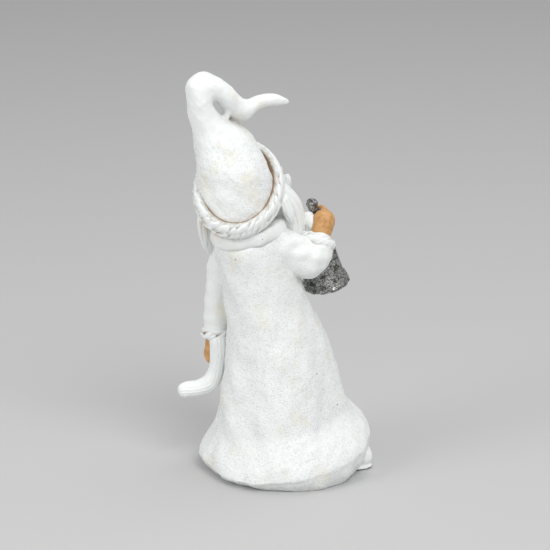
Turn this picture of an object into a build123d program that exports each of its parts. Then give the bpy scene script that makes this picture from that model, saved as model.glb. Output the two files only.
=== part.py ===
"""Garden gnome: a standing cast-resin figure in a flared coat and a folded pointed hat,
with fur trim, a hand bell held up in the right hand and a stocking hanging from the left.

Millimetres, +Z up. The figure faces -Y, and its own left is +X. The origin is on the
ground, in the middle of the coat's foot. Every piece is cast by itself and glued to its
neighbours, on spigots where it carries weight, so each seat is cut by the neighbour's own
form grown by the glue line.
"""
import os
from math import acos, asin, atan, cos, degrees, radians, sin, sqrt

from build123d import *

# ---------------------------------------------------------------- driving dimensions
GLUE_LINE = 0.1          # gap left between two glued faces
SPIGOT_CLEARANCE = 0.15  # radial room round a spigot in its socket
SOCKET_DEPTH_ROOM = 0.4  # room left beyond a spigot's end

# Coat
FOOT_RADIUS = 28.0       # foot, half of its width
FOOT_DEPTH = 24.0        # foot, half of its length from front to back
FOOT_BACK = 4.0          # how far the foot's middle lies behind the origin
HEM_RADIUS = 31.0
HEM_LOW = 3.5            # height of the hem's lip at the back
HEM_HIGH = 14.0          # and at the front, where it clears the boots
# (left, back, height, radius) of the coat, from above the hem to the chest
COAT_RINGS = (
    (0.2, 0.8, 18.0, 26.2),
    (1.0, 1.8, 27.0, 22.9),
    (1.4, 2.5, 38.0, 20.1),
    (2.1, 3.8, 50.0, 17.6),
    (4.0, 6.8, 62.0, 14.9),
    (5.6, 9.4, 75.0, 13.5),
)
SHOULDERS = Vector(7.1, 12.0, 87.0)  # middle of the coat's top face
SHOULDERS_RADIUS = 12.6

# Collar, head and face
HEAD = Vector(9.3, 15.4, 104.5)      # middle of the head, where the hat's rim is
HEAD_RADIUS = 12.9
JAW_RADIUS = 11.2
JAW_HEIGHT = 9.0         # from the collar up to the head's full width
COLLAR_HEIGHT = 4.6
COLLAR_RADIUS = 13.3
COLLAR_BEVEL = 1.2
NECK_SPIGOT_RADIUS = 4.0
NECK_SPIGOT_LENGTH = 6.0
HEAD_TURN = 20.0         # degrees, the face turned to the figure's left
NOSE_RADIUS = 2.7
MOUSTACHE_SPAN = 13.2    # from the nose's middle to a tip

# Hat
HAT_TURN = 36.0          # degrees, the way in which the rim dips, from straight back
RIM_TILT = 40.0          # degrees
HAT_FOLD_TURN = -28.4    # degrees, the way in which the hat folds, from straight ahead
# (left, back, height, lean, half thickness, half width) along the hat: lean is the section's
# tilt in degrees towards the fold
HAT_RINGS = (
    (9.2, 15.6, 90.0, 0, 13.3, 13.3),
    (10.1, 15.9, 105.0, 0, 13.3, 13.3),
    (11.3, 16.9, 114.0, 0, 12.5, 12.4),
    (15.2, 17.1, 123.0, 4, 10.7, 10.4),
    (16.4, 19.2, 126.9, 3, 8.8, 8.6),
    (18.2, 22.3, 130.1, 2, 5.7, 7.4),
    (19.1, 24.0, 133.8, 2, 4.4, 6.9),
    (19.4, 24.5, 136.6, 20, 4.7, 6.7),
    (19.3, 24.2, 139.0, 38, 5.5, 6.6),
    (18.6, 23.0, 140.6, 56, 5.7, 6.4),
    (17.6, 21.2, 141.0, 73, 5.4, 6.2),
    (16.7, 19.6, 140.4, 88, 4.7, 5.9),
    (15.7, 18.0, 139.1, 101, 4.3, 5.5),
    (14.7, 16.2, 136.8, 114, 4.1, 5.0),
    (13.6, 14.1, 134.2, 116, 4.2, 4.5),
    (12.2, 11.8, 131.9, 108, 4.3, 4.0),
    (10.8, 9.2, 132.0, 93, 3.7, 3.6),
    (9.1, 6.2, 133.9, 82, 2.6, 3.0),
    (7.0, 2.5, 134.6, 85, 2.3, 2.5),
    (4.8, -1.4, 134.3, 84, 1.8, 1.9),
    (3.8, -3.2, 133.7, 90, 1.0, 1.1),
)
HAT_SPIGOT_RADIUS = 6.0
HAT_SPIGOT_LENGTH = 4.0
BRIM_THICKNESS = 2.9     # fur beyond the head
BRIM_HEIGHT = 7.0
BRIM_BEVEL = 1.9

# Right arm, raised with the bell
RIGHT_SHOULDER = Vector(-2.2, 9.0, 87.2)
RIGHT_ELBOW = Vector(-8.6, -1.4, 78.0)
RIGHT_WRIST = Vector(-8.2, -6.3, 83.8)
RIGHT_FIST = Vector(-8.2, -9.9, 90.8)
RIGHT_SHOULDER_RADIUS = 5.2
RIGHT_ELBOW_RADIUS = 7.2
RIGHT_WRIST_RADIUS = 4.6
RIGHT_CUFF_RADIUS = 6.3
RIGHT_CUFF_HEIGHT = 4.6
RIGHT_FIST_RADIUS = 4.3
THUMB_RADIUS = 2.0
FINGER_RADIUS = 1.5
FINGER_STEP = 2.6        # from one finger to the next, along what they hold
FINGER_COUNT = 3

# Left arm, hanging with the stocking
LEFT_SHOULDER = Vector(19.8, 13.8, 79.0)
LEFT_WRIST = Vector(23.9, 12.1, 47.8)
LEFT_FIST = Vector(25.4, 12.4, 41.2)
LEFT_SHOULDER_RADIUS = 4.2
LEFT_WRIST_RADIUS = 4.4
LEFT_CUFF_RADIUS = 5.4
LEFT_CUFF_HEIGHT = 3.6
CUFF_BEVEL = 0.28        # share of a cuff's height
LEFT_FIST_RADIUS = 3.7
HAND_WRIST_RADIUS = 3.2
WRIST_SPIGOT_RADIUS = 2.0
WRIST_SPIGOT_LENGTH = 4.0

# Bell
GRIP = Vector(-2.8, -10.9, 90.8)     # middle of the handle's stretch inside the fist
BELL_TILT = 14.0         # degrees, the mouth swung forward
GRIP_ON_HANDLE = 10.5    # the grip above the crown
BELL_MOUTH_RADIUS = 8.5
BELL_WAIST_RADIUS = 5.9
BELL_CROWN_RADIUS = 3.8
BELL_HEIGHT = 16.0
BELL_WALL = 1.1
BELL_LIP = 1.4           # height of the straight lip
BELL_FLARE_HEIGHT = 6.0  # from the mouth up to where the side turns upright
BELL_FLARE_START = 0.35  # share of the way from waist to mouth radius at that height
BELL_SHOULDER_DROP = 3.2
HANDLE_RADIUS = 1.25
HANDLE_LENGTH = 16.0     # from the crown to the middle of the knob
HANDLE_COLLAR_RADIUS = 2.3
HANDLE_COLLAR_HEIGHT = 1.0
KNOB_RADIUS = 2.2
KNOB_BANDS = 3           # conical bands up the knob, and up the clapper's ball
CLAPPER_RADIUS = 1.8
CLAPPER_ROD_RADIUS = 0.6
CLAPPER_HANG = 6.6       # middle of the clapper's ball below the crown's underside

# Stocking: (left, back, height, radius) from its top to the toe
STOCKING_RINGS = (
    (21.2, 13.0, 44.6, 3.6),
    (21.9, 13.0, 38.4, 2.8),
    (22.9, 14.0, 32.6, 3.1),
    (24.6, 16.3, 29.2, 3.4),
    (28.4, 20.9, 27.2, 3.2),
    (29.7, 22.5, 26.9, 2.4),
)

# Beard: (left, back, height, half width, half depth, turn to the left in degrees)
BEARD_RINGS = (
    (12.5, 7.2, 103.5, 12.4, 5.6, 20.0),
    (10.9, 5.2, 99.5, 13.4, 7.6, 18.0),
    (7.9, 0.9, 93.5, 13.0, 8.0, 8.0),
    (6.4, -1.5, 86.0, 11.0, 7.0, 0.0),
    (7.0, -2.4, 78.0, 7.8, 5.4, 0.0),
    (8.0, -3.6, 71.0, 4.2, 3.6, 0.0),
    (8.6, -4.8, 66.0, 1.2, 1.2, 0.0),
)
# Locks of hair from under the brim: (top, tip)
HAIR_LOCKS = {
    "hair_left": (Vector(21.6, 19.4, 94.0), Vector(21.2, 19.2, 80.0)),
    "hair_right": (Vector(-3.6, 6.0, 101.0), Vector(-5.6, 3.6, 92.5)),
}
LOCK_WIDTH = 3.4         # half of a lock's width
LOCK_DEPTH = 1.8         # half of its thickness
LOCK_STRANDS = 5
BEARD_STRANDS = 13
STRAND_GROOVE = 0.09     # share of the half width that a groove between strands takes
CARVED_SIDES = 9         # flats round a finger or a moustache
LIMB_SIDES = 16          # flats round a sleeve, a palm, a cuff, a boot or the stocking
TRUNK_SIDES = 24         # flats round the coat, the collar, the head, the hat and its brim
LIMB_END = 70.0          # degrees up a limb's rounded end at which a small flat closes it

# Boots: (heel, toe) on the ground
BOOTS = {
    "right_boot": (Vector(-12.4, -6.2, 0), Vector(-20.6, -14.5, 0)),
    "left_boot": (Vector(9.5, -13.0, 0), Vector(12.0, -24.6, 0)),
}
BOOT_HEEL_RADIUS = 5.4
BOOT_TOE_RADIUS = 6.2
BOOT_AXIS_HEIGHT = 3.6   # the rounded upper's middle above the ground
SOLE_THICKNESS = 1.2
SOLE_WELT = 0.5

UP = Align.CENTER, Align.CENTER, Align.MIN
DOWN = Align.CENTER, Align.CENTER, Align.MAX


# ---------------------------------------------------------------- forms
def direction(turn, tilt=90.0):
    """Unit vector at tilt degrees from +Z, leaning straight back, then turned to the right."""
    flat = sin(radians(tilt))
    return Vector(-sin(radians(turn)) * flat, cos(radians(turn)) * flat, cos(radians(tilt)))


def turned(outline):
    """Solid turned about +Z from (radius, height) points."""
    return revolve(Plane.XZ * make_face(Polyline(*outline, close=True)), Axis.Z)


def arc_points(radius, height, start, end, steps):
    """Points of an arc about (0, height) from start to end degrees, both included."""
    angles = [radians(start + (end - start) * step / steps) for step in range(steps + 1)]
    return [(radius * cos(angle), height + radius * sin(angle)) for angle in angles]


def corners(plane, half_width, half_depth, sides):
    """Corners of a many-sided oval on a plane, in turn about the plane's normal."""
    turns = [radians(360 * side / sides) for side in range(sides)]
    return [
        plane.origin + plane.x_dir * (half_width * cos(turn)) + plane.y_dir * (half_depth * sin(turn))
        for turn in turns
    ]


def skin(sections):
    """Solid of flat faces through sections that have the same count of corners."""
    rows = [list(reversed(sections[0])), sections[-1]]
    for low, high in zip(sections, sections[1:]):
        for side, corner in enumerate(low):
            after = (side + 1) % len(low)
            rows += [[corner, low[after], high[after]], [corner, high[after], high[side]]]
    return Solid(Shell([Face(Wire.make_polygon(row, close=True)) for row in rows]))


def ring_loft(rings, grow=0.0, across=Vector(1, 0, 0), sides=LIMB_SIDES):
    """Solid through many-sided sections, each square to the line of their middles."""
    middles = [Vector(*ring[:3]) for ring in rings]
    line = [middles[0] * 2 - middles[1], *middles, middles[-1] * 2 - middles[-2]]
    sections = []
    for index, ring in enumerate(rings):
        along = (line[index + 2] - line[index]).normalized()
        side = across - along * across.dot(along)
        radius = ring[3] + grow
        sections.append(corners(Plane(middles[index], x_dir=side, z_dir=along), radius, radius, sides))
    return skin(sections)


def many_sided(plane, outline, sides, stretch=1.0):
    """Solid round a plane's normal from (radius, height) points, stretched across the plane's x."""
    return skin([
        corners(plane.offset(height), radius, radius * stretch, sides) for radius, height in outline
    ])


def square_to(run):
    """Unit vector square to a run that does not follow (0.3, 0.2, 1)."""
    return run.cross(Vector(0.3, 0.2, 1)).normalized()


def limb(start, end, start_radius, end_radius, grow=0.0, bands=2):
    """Tapered limb of many flats; each rounded end closes in a few bands and a small flat."""
    run = (end - start).normalized()
    length = (end - start).length
    slope = degrees(asin((start_radius - end_radius) / length))
    outline = arc_points(start_radius + grow, 0, -LIMB_END, slope, bands)
    outline += arc_points(end_radius + grow, length, slope, LIMB_END, bands)
    rings = [(*(start + run * along), radius) for radius, along in outline]
    return ring_loft(rings, across=square_to(run))


def carved_oval(plane, half_width, half_depth, strands, groove):
    """Corners of an oval with one ridge for each strand and a groove between each two."""
    outer = corners(plane, half_width, half_depth, 2 * strands)
    inner = corners(plane, half_width * (1 - groove), half_depth * (1 - groove), 2 * strands)
    return [outer[step] if step % 2 else inner[step] for step in range(2 * strands)]


def level_plane(origin, normal):
    """Plane whose x runs to the figure's left as nearly as the normal lets it."""
    return Plane(origin, x_dir=(1, 0, 0), z_dir=normal)


def half_space(plane, side=UP):
    span = 140
    return plane * Box(span, span, span, align=side)


def spigot(place, toward, radius, length):
    """Round peg whose root lies just inside the piece that carries it."""
    root = GLUE_LINE * 3
    return Plane(place - toward * root, z_dir=toward) * Cylinder(radius, length + root, align=UP)


def socket(place, toward, radius, length):
    """Hole that takes the spigot of the same size."""
    return spigot(place, toward, radius + SPIGOT_CLEARANCE, length + SOCKET_DEPTH_ROOM)


def bevelled_band(plane, radius, height, bevel, sides, stretch=1.0):
    """Many-sided band with bevelled edges, its foot on a plane."""
    outline = ((radius - bevel, 0), (radius, bevel), (radius, height - bevel), (radius - bevel, height))
    return many_sided(plane, outline, sides, stretch)


# ---------------------------------------------------------------- shared lines
neck_line = (HEAD - SHOULDERS).normalized()
collar_top = SHOULDERS + neck_line * COLLAR_HEIGHT
rim_normal = direction(HAT_TURN, RIM_TILT)
rim_plane = Plane(HEAD, x_dir=direction(HAT_TURN - 90), z_dir=rim_normal)
fold_forward = -direction(HAT_FOLD_TURN)
fold_side = fold_forward.cross(Vector(0, 0, 1))
face_forward = -direction(HEAD_TURN)
face_left = direction(HEAD_TURN - 90)
right_hand_line = (RIGHT_FIST - RIGHT_WRIST).normalized()
left_hand_line = (LEFT_FIST - LEFT_WRIST).normalized()
bell_line = direction(0, BELL_TILT)
bell_plane = Plane(GRIP - bell_line * GRIP_ON_HANDLE, x_dir=(1, 0, 0), z_dir=bell_line)


def on_face(forward, left, up):
    """Point near the face, from the middle of the head."""
    return HEAD + face_forward * forward + face_left * left + Vector(0, 0, up)


# ---------------------------------------------------------------- trunk
def coat_form(grow=0.0):
    """Foot, overhanging hem that rises to the front, and the flared body above it."""
    hem_middle = (HEM_HIGH + HEM_LOW) / 2
    hem_tilt = degrees(atan((HEM_HIGH - HEM_LOW) / (2 * HEM_RADIUS)))
    hem = HEM_RADIUS + grow
    top = SHOULDERS_RADIUS + grow
    sections = [
        corners(Plane((0, FOOT_BACK, 0)), FOOT_RADIUS + grow, FOOT_DEPTH + grow, TRUNK_SIDES),
        corners(level_plane((0.3, 0.5, hem_middle), direction(0, hem_tilt)), hem, hem, TRUNK_SIDES),
    ]
    for left, back, height, radius in COAT_RINGS:
        levelled = hem_tilt * max(0.0, 1 - (height - hem_middle) / (2 * hem_middle))
        ring_plane = level_plane((left, back, height), direction(0, levelled))
        sections.append(corners(ring_plane, radius + grow, radius + grow, TRUNK_SIDES))
    sections.append(corners(level_plane(SHOULDERS, neck_line), top, top, TRUNK_SIDES))
    return skin(sections)


def make_coat():
    coat = coat_form() - socket(SHOULDERS, -neck_line, NECK_SPIGOT_RADIUS, NECK_SPIGOT_LENGTH)
    for heel, toe in BOOTS.values():
        coat -= boot_form(heel, toe, GLUE_LINE)
    return coat


def collar_form(grow=0.0):
    foot = level_plane(SHOULDERS + neck_line * GLUE_LINE, neck_line)
    height = COLLAR_HEIGHT - 2 * GLUE_LINE
    return bevelled_band(foot, COLLAR_RADIUS + grow, height, COLLAR_BEVEL, TRUNK_SIDES)


def make_collar():
    hole = socket(collar_top, -neck_line, NECK_SPIGOT_RADIUS, COLLAR_HEIGHT)
    return collar_form() - hole - right_sleeve_form(GLUE_LINE) - left_sleeve_form(GLUE_LINE)


def head_form(grow=0.0):
    """Jaw that widens to a round head, along the neck line, before the rim cuts it."""
    top = (HEAD - collar_top).length + HEAD_RADIUS
    jaw = JAW_RADIUS + grow
    full = HEAD_RADIUS + grow
    outline = ((jaw, 0), (full - 0.5, JAW_HEIGHT * 0.5), (full, JAW_HEIGHT), (full, top))
    return many_sided(level_plane(collar_top, neck_line), outline, TRUNK_SIDES)


def make_head():
    head = head_form() & half_space(rim_plane.offset(-GLUE_LINE / 2), DOWN)
    head += spigot(collar_top, -neck_line, NECK_SPIGOT_RADIUS, COLLAR_HEIGHT + NECK_SPIGOT_LENGTH)
    return head + spigot(HEAD, rim_normal, HAT_SPIGOT_RADIUS, HAT_SPIGOT_LENGTH)


# ---------------------------------------------------------------- hat
def hat_form(grow=0.0):
    """Cone that climbs, folds over at its top and ends in a tail with an upturned tip."""
    sections = []
    for left, back, height, lean, thickness, width in HAT_RINGS:
        upward = Vector(0, 0, cos(radians(lean))) + fold_forward * sin(radians(lean))
        plane = Plane((left, back, height), x_dir=fold_side, z_dir=upward)
        sections.append(corners(plane, width + grow, thickness + grow, TRUNK_SIDES))
    return skin(sections)


def make_hat():
    hat = hat_form() & half_space(rim_plane.offset(GLUE_LINE / 2))
    return hat - socket(HEAD, rim_normal, HAT_SPIGOT_RADIUS, HAT_SPIGOT_LENGTH)


def brim_form(grow=0.0):
    """Fur band round the rim: an oval on the tilted rim that looks round from above."""
    height = BRIM_HEIGHT + 2 * grow
    foot = rim_plane.offset(-height / 2)
    around = HEAD_RADIUS + BRIM_THICKNESS + grow
    return bevelled_band(foot, around, height, BRIM_BEVEL, TRUNK_SIDES, 1 / cos(radians(RIM_TILT)))


def make_hat_brim():
    return brim_form() - hat_form(GLUE_LINE) - head_form(GLUE_LINE)


# ---------------------------------------------------------------- face
def nose_form(grow=0.0):
    return limb(on_face(13.4, 0, -0.4), on_face(15.0, 0, -0.9), NOSE_RADIUS - 0.2, NOSE_RADIUS, grow)


def moustache_form(side, grow=0.0):
    """Tapered half of the moustache, curling up at its tip."""
    span = side * MOUSTACHE_SPAN
    middles = (
        on_face(14.4, side * 1.2, -3.9),
        on_face(15.4, span * 0.32, -5.0),
        on_face(15.2, span * 0.66, -4.4),
        on_face(13.6, span * 0.93, -1.6),
        on_face(12.4, span * 1.02, 2.4),
    )
    radii = (1.8, 2.4, 2.1, 1.6, 1.0)
    rings = [(*middle, radius) for middle, radius in zip(middles, radii)]
    return ring_loft(rings, grow, face_forward, CARVED_SIDES)


def beard_form(grow=0.0):
    """Beard that widens from the cheeks, lies on the chest and narrows to its tip."""
    sections = []
    for left, back, height, width, depth, turn in BEARD_RINGS:
        level = Plane((left, back, height), x_dir=direction(turn - 90), z_dir=(0, 0, -1))
        sections.append(carved_oval(level, width + grow, depth + grow, BEARD_STRANDS, STRAND_GROOVE))
    return skin(sections)


def make_beard():
    beard = beard_form() - nose_form(GLUE_LINE) - brim_form(GLUE_LINE)
    return beard - right_sleeve_form(GLUE_LINE) - right_cuff_form(GLUE_LINE)


def lock_form(top, tip, grow=0.0):
    """Flat lock of hair that swells below its root and narrows to its tip."""
    drop = tip - top
    outward = Vector(top.X - HEAD.X, top.Y - HEAD.Y, 0).normalized()
    sections = []
    for share, fullness in ((0.0, 0.85), (0.4, 1.0), (0.75, 0.75), (1.0, 0.25)):
        level = Plane(top + drop * share, x_dir=Vector(-outward.Y, outward.X, 0), z_dir=drop)
        width = LOCK_WIDTH * fullness + grow
        depth = LOCK_DEPTH * fullness + grow
        sections.append(carved_oval(level, width, depth, LOCK_STRANDS, STRAND_GROOVE))
    return skin(sections)


# ---------------------------------------------------------------- arms and hands
def right_sleeve_form(grow=0.0):
    """Short bent arm: upper arm, full elbow and a forearm that ends at the wrist."""
    upper = limb(RIGHT_SHOULDER, RIGHT_ELBOW, RIGHT_SHOULDER_RADIUS, RIGHT_ELBOW_RADIUS, grow)
    fore = limb(RIGHT_ELBOW, RIGHT_WRIST, RIGHT_ELBOW_RADIUS, RIGHT_WRIST_RADIUS, grow)
    return (upper + fore) - half_space(Plane(RIGHT_WRIST, z_dir=right_hand_line))


def left_sleeve_form(grow=0.0):
    arm = limb(LEFT_SHOULDER, LEFT_WRIST, LEFT_SHOULDER_RADIUS, LEFT_WRIST_RADIUS, grow)
    return arm - half_space(Plane(LEFT_WRIST, z_dir=left_hand_line))


def make_sleeve(form, wrist, hand_line):
    sleeve = form - coat_form(GLUE_LINE) - head_form(GLUE_LINE)
    return sleeve - socket(wrist, -hand_line, WRIST_SPIGOT_RADIUS, WRIST_SPIGOT_LENGTH)


def cuff_form(wrist, hand_line, radius, height, grow):
    """Fur band centred on the wrist, square to the hand's line."""
    band = height + 2 * grow
    foot = Plane(wrist - hand_line * (band / 2), z_dir=hand_line)
    return bevelled_band(foot, radius + grow, band, height * CUFF_BEVEL, LIMB_SIDES)


def right_cuff_form(grow=0.0):
    return cuff_form(RIGHT_WRIST, right_hand_line, RIGHT_CUFF_RADIUS, RIGHT_CUFF_HEIGHT, grow)


def left_cuff_form(grow=0.0):
    return cuff_form(LEFT_WRIST, left_hand_line, LEFT_CUFF_RADIUS, LEFT_CUFF_HEIGHT, grow)


def make_cuff(cuff, cores):
    """Fur cuff with its sleeve and hand taken out."""
    for core in cores:
        cuff -= core
    return cuff


def finger_form(root, tip, radius):
    """Blunt finger of carved flats from root to tip."""
    run = (tip - root).normalized()
    stations = ((root, 1.0), (tip, 1.0), (tip + run * (radius * 0.7), 0.55))
    rings = [(*place, radius * share) for place, share in stations]
    return ring_loft(rings, across=square_to(run), sides=CARVED_SIDES)


def closed_hand(wrist, fist, fist_radius, held, held_line, held_radius, thumb_side, grow):
    """Palm beside what is held, thumb round one side and fingers round the other."""
    hand_line = (fist - wrist).normalized()
    across = held - fist
    across = (across - held_line * across.dot(held_line)).normalized()
    front = across.cross(held_line) * -thumb_side
    hand = limb(wrist, fist, HAND_WRIST_RADIUS, fist_radius, grow)
    thumb_tip = held + across * 0.8 - front * (held_radius + THUMB_RADIUS) + held_line * 0.6
    thumb_root = fist - front * (fist_radius * 0.5) - hand_line * (fist_radius * 0.6)
    hand += finger_form(thumb_root, thumb_tip, THUMB_RADIUS + grow)
    for finger in range(FINGER_COUNT):
        level = held_line * (FINGER_STEP * (finger - (FINGER_COUNT - 1) / 2))
        knuckle = fist + front * (fist_radius * 0.6) + level
        tip = held + across * 1.2 + front * (held_radius + FINGER_RADIUS) + level
        hand += finger_form(knuckle, tip, FINGER_RADIUS + grow)
    return hand & half_space(Plane(wrist, z_dir=hand_line))


def right_hand_form(grow=0.0):
    return closed_hand(
        RIGHT_WRIST, RIGHT_FIST, RIGHT_FIST_RADIUS, GRIP, bell_line, HANDLE_RADIUS, 1, grow)


def left_hand_form(grow=0.0):
    palm = limb(LEFT_WRIST, LEFT_FIST, HAND_WRIST_RADIUS, LEFT_FIST_RADIUS, grow)
    return palm & half_space(Plane(LEFT_WRIST, z_dir=left_hand_line))


# ---------------------------------------------------------------- bell
def bell_profile(flare):
    """Half outline under the crown: sloping shoulder, the side's points and a straight lip."""
    return [
        (0, 0),
        (BELL_CROWN_RADIUS, 0),
        (BELL_WAIST_RADIUS, -BELL_SHOULDER_DROP),
        *flare,
        (BELL_MOUTH_RADIUS, -BELL_HEIGHT),
        (0, -BELL_HEIGHT),
    ]


def make_bell_shell():
    """Flared shell; its hollow runs straight from the shoulder to the mouth."""
    part_way = BELL_WAIST_RADIUS + (BELL_MOUTH_RADIUS - BELL_WAIST_RADIUS) * BELL_FLARE_START
    flare = ((part_way, BELL_FLARE_HEIGHT - BELL_HEIGHT), (BELL_MOUTH_RADIUS, BELL_LIP - BELL_HEIGHT))
    hollow = [(max(radius - BELL_WALL, 0), height) for radius, height in bell_profile(())]
    shell = turned(bell_profile(flare)) - Pos(0, 0, -BELL_WALL) * turned(hollow)
    return bell_plane * (shell - Cylinder(CLAPPER_ROD_RADIUS + SPIGOT_CLEARANCE, BELL_WALL * 4))


def handle_form(grow=0.0):
    """Rod with a collar on the crown and a round knob at its top."""
    rod = HANDLE_RADIUS + grow
    knob = KNOB_RADIUS + grow
    collar = HANDLE_COLLAR_RADIUS + grow
    outline = [(0, 0), (collar, 0), (collar, HANDLE_COLLAR_HEIGHT), (rod, HANDLE_COLLAR_HEIGHT)]
    outline += arc_points(knob, HANDLE_LENGTH, -degrees(acos(rod / knob)), 90, KNOB_BANDS)
    return bell_plane * (Pos(0, 0, GLUE_LINE) * turned(outline))


def make_clapper():
    """Ball on a rod that hangs from the hole in the crown."""
    hang = BELL_WALL + CLAPPER_HANG
    neck = degrees(acos(CLAPPER_ROD_RADIUS / CLAPPER_RADIUS))
    ball = arc_points(CLAPPER_RADIUS, -hang, -90, neck, KNOB_BANDS)
    return bell_plane * turned([*ball, (CLAPPER_ROD_RADIUS, 0), (0, 0)])


# ---------------------------------------------------------------- stocking and boots
def stocking_form():
    return ring_loft(STOCKING_RINGS, across=Vector(0.7, -0.7, 0))


def boot_form(heel, toe, grow=0.0):
    """Rounded upper cut off at the ground, on a sole with a narrow welt."""
    lift = Vector(0, 0, BOOT_AXIS_HEIGHT)
    upper = limb(heel + lift, toe + lift, BOOT_HEEL_RADIUS, BOOT_TOE_RADIUS, grow, 3) & half_space(Plane.XY)
    edges = []
    for place, radius in ((heel, BOOT_HEEL_RADIUS), (toe, BOOT_TOE_RADIUS)):
        sole_radius = sqrt(radius ** 2 - (BOOT_AXIS_HEIGHT - SOLE_THICKNESS) ** 2) + SOLE_WELT + grow
        edges += (Pos(*place) * Circle(sole_radius)).edges()
    return upper + extrude(make_hull(edges), SOLE_THICKNESS + grow)


# ---------------------------------------------------------------- assembly
def make_pieces():
    right_peg = spigot(RIGHT_WRIST, -right_hand_line, WRIST_SPIGOT_RADIUS, WRIST_SPIGOT_LENGTH)
    left_peg = spigot(LEFT_WRIST, -left_hand_line, WRIST_SPIGOT_RADIUS, WRIST_SPIGOT_LENGTH)
    right_cores = [right_sleeve_form(GLUE_LINE), right_hand_form(GLUE_LINE)]
    left_cores = [left_sleeve_form(GLUE_LINE), left_hand_form(GLUE_LINE)]
    trunk_seats = [coat_form(GLUE_LINE), collar_form(GLUE_LINE), head_form(GLUE_LINE)]
    moustaches = {"moustache_right": -1, "moustache_left": 1}
    pieces = {
        "coat": make_coat(),
        "collar": make_collar(),
        "head": make_head(),
        "hat": make_hat(),
        "hat_brim": make_hat_brim(),
        "nose": nose_form() - head_form(GLUE_LINE),
        "beard": make_beard(),
        "right_sleeve": make_sleeve(right_sleeve_form(), RIGHT_WRIST, right_hand_line),
        "left_sleeve": make_sleeve(left_sleeve_form(), LEFT_WRIST, left_hand_line),
        "right_cuff": make_cuff(right_cuff_form(), right_cores),
        "left_cuff": make_cuff(left_cuff_form(), left_cores),
        "right_hand": right_hand_form() + right_peg - handle_form(GLUE_LINE),
        "left_hand": left_hand_form() + left_peg,
        "bell_shell": make_bell_shell(),
        "bell_handle": handle_form(),
        "bell_clapper": make_clapper(),
        "stocking": stocking_form() - left_hand_form(GLUE_LINE) - coat_form(GLUE_LINE),
    }
    for name, side in moustaches.items():
        pieces[name] = moustache_form(side) - head_form(GLUE_LINE) - nose_form(GLUE_LINE)
        pieces["beard"] -= moustache_form(side, GLUE_LINE)
    for name, (top, tip) in HAIR_LOCKS.items():
        pieces[name] = lock_form(top, tip) - brim_form(GLUE_LINE)
        pieces["beard"] -= lock_form(top, tip, GLUE_LINE)
    for seat in trunk_seats:
        for name in ("beard", *HAIR_LOCKS):
            pieces[name] -= seat
    for name, (heel, toe) in BOOTS.items():
        pieces[name] = boot_form(heel, toe)
    return pieces


os.makedirs("parts", exist_ok=True)
for name, piece in make_pieces().items():
    export_step(piece, f"parts/{name}.step")
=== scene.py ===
"""Garden gnome in painted cast resin: the looks of every piece, the stage and the light.

The file is laid out as an add-on and run as a script. Lengths are in millimetres up to the
point where they are handed to the mesh, and the frame is that of the construction model: the
figure faces -Y, its own left is +X, and the ground is at z = 0.
"""
import random
from math import cos, pi, radians, sin

import bmesh
import bpy
import numpy as np
from mathutils import Matrix, Vector
from mathutils.bvhtree import BVHTree


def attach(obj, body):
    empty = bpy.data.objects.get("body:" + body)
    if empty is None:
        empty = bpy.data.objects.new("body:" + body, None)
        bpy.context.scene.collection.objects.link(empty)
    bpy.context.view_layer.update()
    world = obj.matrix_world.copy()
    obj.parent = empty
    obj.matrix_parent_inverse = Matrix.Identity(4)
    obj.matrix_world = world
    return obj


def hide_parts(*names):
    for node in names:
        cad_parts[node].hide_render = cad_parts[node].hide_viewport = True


bl_info = {
    "name": "Garden gnome",
    "version": (1, 0, 0),
    "blender": (4, 5, 0),
    "location": "3D View > Sidebar > Gnome",
    "description": "Models and paints a cast-resin garden gnome with a bell and a stocking",
    "category": "Add Mesh",
}

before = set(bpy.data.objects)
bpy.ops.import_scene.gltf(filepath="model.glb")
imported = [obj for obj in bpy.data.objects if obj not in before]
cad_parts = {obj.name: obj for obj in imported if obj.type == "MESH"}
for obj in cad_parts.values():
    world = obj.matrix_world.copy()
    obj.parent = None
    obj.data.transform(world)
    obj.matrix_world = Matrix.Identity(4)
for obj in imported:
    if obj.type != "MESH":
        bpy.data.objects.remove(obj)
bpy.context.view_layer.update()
MM = 0.001
BODY = "root"
UP = Vector((0, 0, 1))
DOME_STEPS = 4    # rings in the rounded end of a limb
DOME_END = 84.0   # degrees, how far round the last of them lies


# ---------------------------------------------------------------- settings
class GnomeSizes(bpy.types.PropertyGroup):
    """Sizes that a user would change, in millimetres."""

    fold_depth: bpy.props.FloatProperty(
        name="Fold depth", description="Depth of the coat's long folds, in mm", default=0.55, min=0)
    flare_height: bpy.props.FloatProperty(
        name="Flare height", description="Height over which the hem flares, in mm", default=12.5, min=4)
    tuft_depth: bpy.props.FloatProperty(
        name="Tuft depth", description="Relief of the carved fur, in mm", default=1.15, min=0)
    strand_depth: bpy.props.FloatProperty(
        name="Strand depth", description="Relief of the carved hair, in mm", default=0.55, min=0)
    grit: bpy.props.FloatProperty(
        name="Grit", description="Size of a grain of the glitter snow, in mm", default=0.42, min=0.1)
    melt: bpy.props.FloatProperty(
        name="Melt", description="Reach of the soft joint of sleeve and coat, in mm", default=3.2, min=0)


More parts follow.
